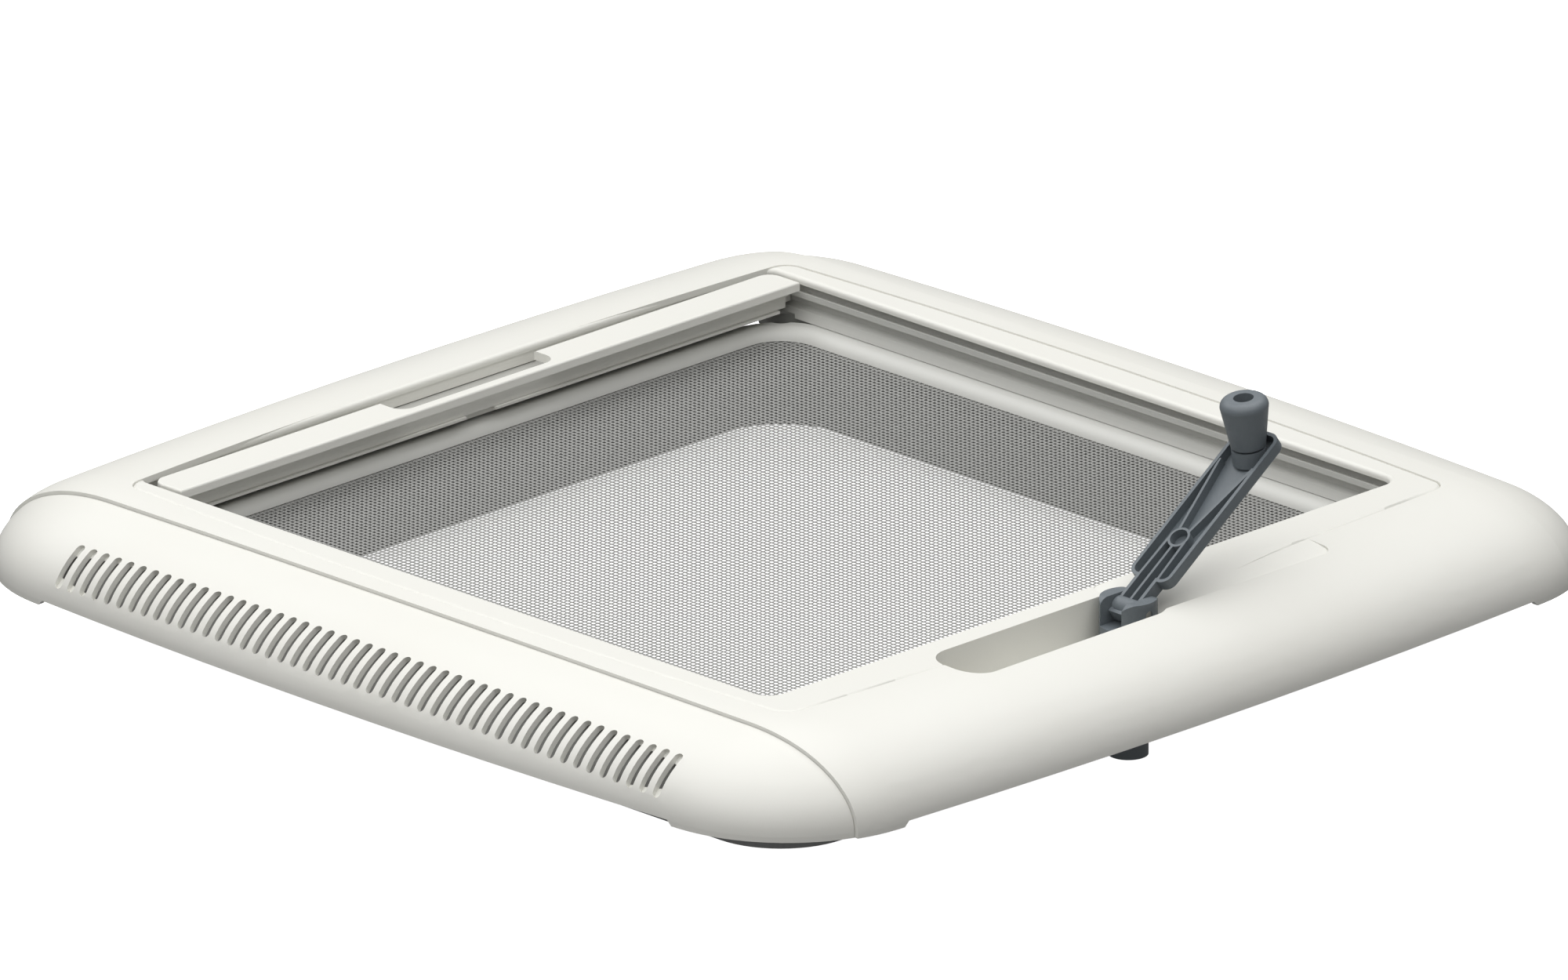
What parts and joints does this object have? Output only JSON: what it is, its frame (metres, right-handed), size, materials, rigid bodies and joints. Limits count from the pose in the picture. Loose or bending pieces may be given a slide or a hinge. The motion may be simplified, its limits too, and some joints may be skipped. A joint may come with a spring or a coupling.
{
  "type": "rooflight interior frame with crank",
  "caption": "Square interior frame of a caravan rooflight, with folding crank, sliding blackout blind and insect screen.",
  "frame": {"origin": "centre of the outline in plan, at the level of the roof collar's rim and the spindle housing's end, the lowest points", "axes": "+Z towards the room (out of the room-side face), -Y towards the crank side, +Y towards the parked blind, X along the pull bar"},
  "size_m": [0.5288, 0.5318, 0.1431],
  "materials": {
    "white_plastic": "moulded ABS, warm white, fine satin texture",
    "baffle_plastic": "moulded grey liner, matt",
    "rail_plastic": "extruded light grey plastic, satin",
    "screen_cloth": "coated glass-fibre insect mesh, mid grey, matt",
    "spline_rubber": "black rubber cord, matt",
    "collar_plastic": "moulded dark grey plastic, matt",
    "liner_plastic": "moulded grey plastic, matt",
    "bracket_plastic": "moulded acetal, natural white",
    "slate_plastic": "glass-filled nylon, slate grey, fine spark texture",
    "washer_nylon": "nylon washer, natural",
    "screw_steel": "zinc-plated steel",
    "spindle_steel": "turned steel, lightly oiled",
    "spring_steel": "spring steel wire",
    "tube_aluminium": "drawn aluminium tube",
    "blackout_cloth": "coated blackout cloth, silver grey, matt"
  },
  "bodies": {
    "frame": {"trim_frame": "white_plastic", "vent_panel_left": "white_plastic", "vent_panel_right": "white_plastic", "vent_baffle_left": "baffle_plastic", "vent_baffle_right": "baffle_plastic", "guide_rail_left": "rail_plastic", "guide_rail_right": "rail_plastic", "screen_frame": "white_plastic", "screen_mesh": "screen_cloth", "screen_spline": "spline_rubber", "roof_collar": "collar_plastic", "reveal_liner": "liner_plastic", "rail_screws": "screw_steel", "blind_cassette": "rail_plastic", "cassette_screws": "screw_steel", "roller_bracket_left": "bracket_plastic", "roller_bracket_right": "bracket_plastic", "idle_pin": "screw_steel", "spring_rod": "screw_steel", "spindle_housing": "slate_plastic", "housing_screws": "screw_steel", "friction_washer": "washer_nylon"},
    "hub": {"crank_hub": "slate_plastic", "drive_spindle": "spindle_steel", "spindle_screw": "screw_steel", "hinge_pin": "spindle_steel", "retaining_clip": "spindle_steel"},
    "arm": {"crank_arm": "slate_plastic", "knob_sleeve": "spindle_steel", "knob_washer": "screw_steel", "knob_screw": "screw_steel"},
    "knob": {"crank_knob": "slate_plastic"},
    "bar": {"pull_bar": "white_plastic", "bar_glide_left": "bracket_plastic", "bar_glide_right": "bracket_plastic", "cloth_clamp": "white_plastic", "clamp_screws": "screw_steel", "blackout_lead": "blackout_cloth"},
    "roller": {"roller_tube": "tube_aluminium", "blackout_roll": "blackout_cloth", "idle_plug": "bracket_plastic", "spring_plug": "bracket_plastic", "roller_spring": "spring_steel", "spring_anchor": "bracket_plastic"}
  },
  "joints": [
    {"name": "crank_spin", "type": "hinge", "parent": "frame", "child": "hub", "pos_m": [0, -0.204, 0.068], "axis": [0, 0, 1], "range_deg": [0, 3600]},
    {"name": "crank_fold", "type": "hinge", "parent": "hub", "child": "arm", "pos_m": [0, -0.204, 0.065], "axis": [0, -1, 0], "range_deg": [0, 144]},
    {"name": "knob_spin", "type": "hinge", "parent": "arm", "child": "knob", "pos_m": [0.07212, -0.204, 0.11892], "axis": [-0.1392, 0, 0.9903], "continuous": true},
    {"name": "bar_slide", "type": "slide", "parent": "frame", "child": "bar", "axis": [0, -1, 0], "range_m": [0, 0.354], "deforming": ["blackout_lead"]},
    {"name": "roller_spin", "type": "hinge", "parent": "frame", "child": "roller", "pos_m": [0, 0.221, 0.0507], "axis": [1, 0, 0], "range_deg": [0, 2720]}
  ],
  "couplings": [
    {"joint": "roller_spin", "follows": "bar_slide", "rad_per_m": 133}
  ]
}
